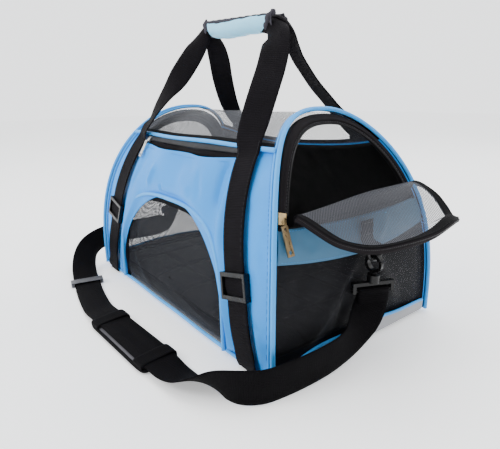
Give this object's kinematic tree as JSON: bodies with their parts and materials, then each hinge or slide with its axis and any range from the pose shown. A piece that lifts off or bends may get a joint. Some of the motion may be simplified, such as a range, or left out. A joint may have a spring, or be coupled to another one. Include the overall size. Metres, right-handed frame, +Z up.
{
  "type": "pet transport carrier",
  "caption": "Soft-sided pet transport carrier with a mesh window, mesh ends and top, an open end door, webbing handles with a padded grip and a shoulder strap.",
  "frame": {"origin": "middle of the body's bottom, on the surface that the carrier stands on", "axes": "+X towards the end whose door is open, -Y towards the pocket side, +Z up"},
  "size_m": [0.5801, 0.3833, 0.394],
  "materials": {
    "sky_fabric": "coated oxford weave, soft sheen",
    "window_net": "knitted polyester mesh",
    "top_net": "clear knitted mesh",
    "piping_fabric": "piped binding",
    "base_fabric": "grey coated cloth",
    "base_board": "stiff board",
    "mat_fabric": "quilted fleece",
    "black_webbing": "ribbed polyester webbing",
    "binding_tape": "woven binding tape",
    "spring_wire": "spring steel",
    "zip_silver": "plated",
    "zip_brass": "plated",
    "puller_bronze": "dark plated",
    "hard_plastic": "moulded",
    "grip_fabric": "padded coated fabric",
    "adjuster_metal": "plated"
  },
  "bodies": {
    "carrier_body": {"front_panel": "sky_fabric", "front_window_mesh": "window_net", "front_window_piping": "piping_fabric", "front_pocket": "sky_fabric", "pocket_zip_tape": "binding_tape", "back_panel": "sky_fabric", "top_mesh_panel": "top_net", "front_top_piping": "piping_fabric", "back_top_piping": "piping_fabric", "bottom_panel": "base_fabric", "base_board": "base_board", "floor_mat": "mat_fabric", "right_end_mesh": "window_net", "left_end_mesh": "window_net", "right_end_band": "sky_fabric", "left_end_band": "sky_fabric", "right_door_surround": "binding_tape", "left_door_surround": "binding_tape", "right_end_piping": "piping_fabric", "left_end_piping": "piping_fabric", "right_frame_wire": "spring_wire", "left_frame_wire": "spring_wire", "front_leg_webbing": "black_webbing", "back_leg_webbing": "black_webbing", "right_girth_strap": "black_webbing", "left_girth_strap": "black_webbing", "right_ring_tab": "black_webbing", "left_ring_tab": "black_webbing", "right_swivel_base": "hard_plastic", "left_swivel_base": "hard_plastic", "shoulder_strap": "black_webbing", "strap_adjuster": "adjuster_metal", "shoulder_pad": "black_webbing"},
    "right_door": {"right_door_mesh": "window_net", "right_door_binding": "binding_tape"},
    "left_door": {"left_door_mesh": "window_net", "left_door_binding": "binding_tape"},
    "pocket_slider": {"pocket_zip_slider": "zip_silver"},
    "pocket_puller": {"pocket_zip_puller": "zip_silver"},
    "right_slider": {"right_door_slider": "zip_brass"},
    "right_puller": {"right_door_puller": "puller_bronze"},
    "left_slider": {"left_door_slider": "zip_brass"},
    "left_puller": {"left_door_puller": "puller_bronze"},
    "front_handle": {"front_handle_webbing": "black_webbing", "grip_wrap": "grip_fabric", "grip_lining": "binding_tape"},
    "back_handle": {"back_handle_webbing": "black_webbing"},
    "right_ring": {"right_d_ring": "hard_plastic"},
    "left_ring": {"left_d_ring": "hard_plastic"},
    "right_hook": {"right_snap_hook": "hard_plastic"},
    "left_hook": {"left_snap_hook": "hard_plastic"},
    "right_gate": {"right_hook_gate": "hard_plastic"},
    "left_gate": {"left_hook_gate": "hard_plastic"},
    "front_right_lock": {"front_right_buckle": "hard_plastic"},
    "front_left_lock": {"front_left_buckle": "hard_plastic"},
    "back_right_lock": {"back_right_buckle": "hard_plastic"},
    "back_left_lock": {"back_left_buckle": "hard_plastic"}
  },
  "joints": [
    {"name": "right_door_hinge", "type": "hinge", "parent": "carrier_body", "child": "right_door", "pos_m": [0.2096, 0, 0.16], "axis": [0, -1, 0], "range_deg": [-20, 119]},
    {"name": "left_door_hinge", "type": "hinge", "parent": "carrier_body", "child": "left_door", "pos_m": [-0.2096, 0, 0.16], "axis": [0, -1, 0], "range_deg": [0, 135]},
    {"name": "pocket_zip_slide", "type": "slide", "parent": "carrier_body", "child": "pocket_slider", "axis": [1, 0, 0], "range_m": [0, 0.195]},
    {"name": "pocket_puller_flip", "type": "hinge", "parent": "pocket_slider", "child": "pocket_puller", "pos_m": [-0.108, -0.09928, 0.223], "axis": [-1, 0, 0], "range_deg": [0, 140]},
    {"name": "right_door_zip_slide", "type": "slide", "parent": "carrier_body", "child": "right_slider", "axis": [-0.3206, 0.3203, 0.8914], "range_m": [0, 0.012]},
    {"name": "left_door_zip_slide", "type": "slide", "parent": "carrier_body", "child": "left_slider", "axis": [0.3206, -0.3203, 0.8914], "range_m": [0, 0.012]},
    {"name": "right_puller_flip", "type": "hinge", "parent": "right_slider", "child": "right_puller", "pos_m": [0.21293, -0.11079, 0.164], "axis": [0, -1, 0], "range_deg": [0, 140]},
    {"name": "left_puller_flip", "type": "hinge", "parent": "left_slider", "child": "left_puller", "pos_m": [-0.21293, 0.11079, 0.164], "axis": [0, 1, 0], "range_deg": [0, 140]},
    {"name": "front_handle_swing", "type": "hinge", "parent": "carrier_body", "child": "front_handle", "pos_m": [0, -0.09393, 0.234], "axis": [1, 0, 0], "range_deg": [0, 170]},
    {"name": "back_handle_swing", "type": "hinge", "parent": "carrier_body", "child": "back_handle", "pos_m": [0, 0.09393, 0.234], "axis": [-1, 0, 0], "range_deg": [0, 170]},
    {"name": "right_ring_swing", "type": "hinge", "parent": "carrier_body", "child": "right_ring", "pos_m": [0.23935, 0, 0.124], "axis": [0, 1, 0], "range_deg": [-4, 4]},
    {"name": "right_hook_swivel", "type": "hinge", "parent": "carrier_body", "child": "right_hook", "pos_m": [0.23935, 0, 0.1068], "axis": [0, 0, 1], "range_deg": [-10, 10]},
    {"name": "right_gate_spring", "type": "hinge", "parent": "right_hook", "child": "right_gate", "pos_m": [0.24612, 0, 0.10335], "axis": [0, -1, 0], "range_deg": [0, 18], "stiffness_Nm_per_rad": 0.05},
    {"name": "left_ring_swing", "type": "hinge", "parent": "carrier_body", "child": "left_ring", "pos_m": [-0.23935, 0, 0.124], "axis": [0, 1, 0], "range_deg": [-4, 4]},
    {"name": "left_hook_swivel", "type": "hinge", "parent": "carrier_body", "child": "left_hook", "pos_m": [-0.23935, 0, 0.1068], "axis": [0, 0, 1], "range_deg": [-10, 10]},
    {"name": "left_gate_spring", "type": "hinge", "parent": "left_hook", "child": "left_gate", "pos_m": [-0.24612, 0, 0.10335], "axis": [0, 1, 0], "range_deg": [0, 18], "stiffness_Nm_per_rad": 0.05},
    {"name": "front_right_buckle_slide", "type": "slide", "parent": "carrier_body", "child": "front_right_lock", "axis": [-0.2368, 0.1008, 0.9663], "range_m": [-0.01, 0.01]},
    {"name": "front_left_buckle_slide", "type": "slide", "parent": "carrier_body", "child": "front_left_lock", "axis": [0.2356, 0.1414, 0.9615], "range_m": [-0.01, 0.01]},
    {"name": "back_right_buckle_slide", "type": "slide", "parent": "carrier_body", "child": "back_right_lock", "axis": [-0.2368, -0.1008, 0.9663], "range_m": [-0.01, 0.01]},
    {"name": "back_left_buckle_slide", "type": "slide", "parent": "carrier_body", "child": "back_left_lock", "axis": [0.2356, -0.1414, 0.9615], "range_m": [-0.01, 0.01]}
  ]
}
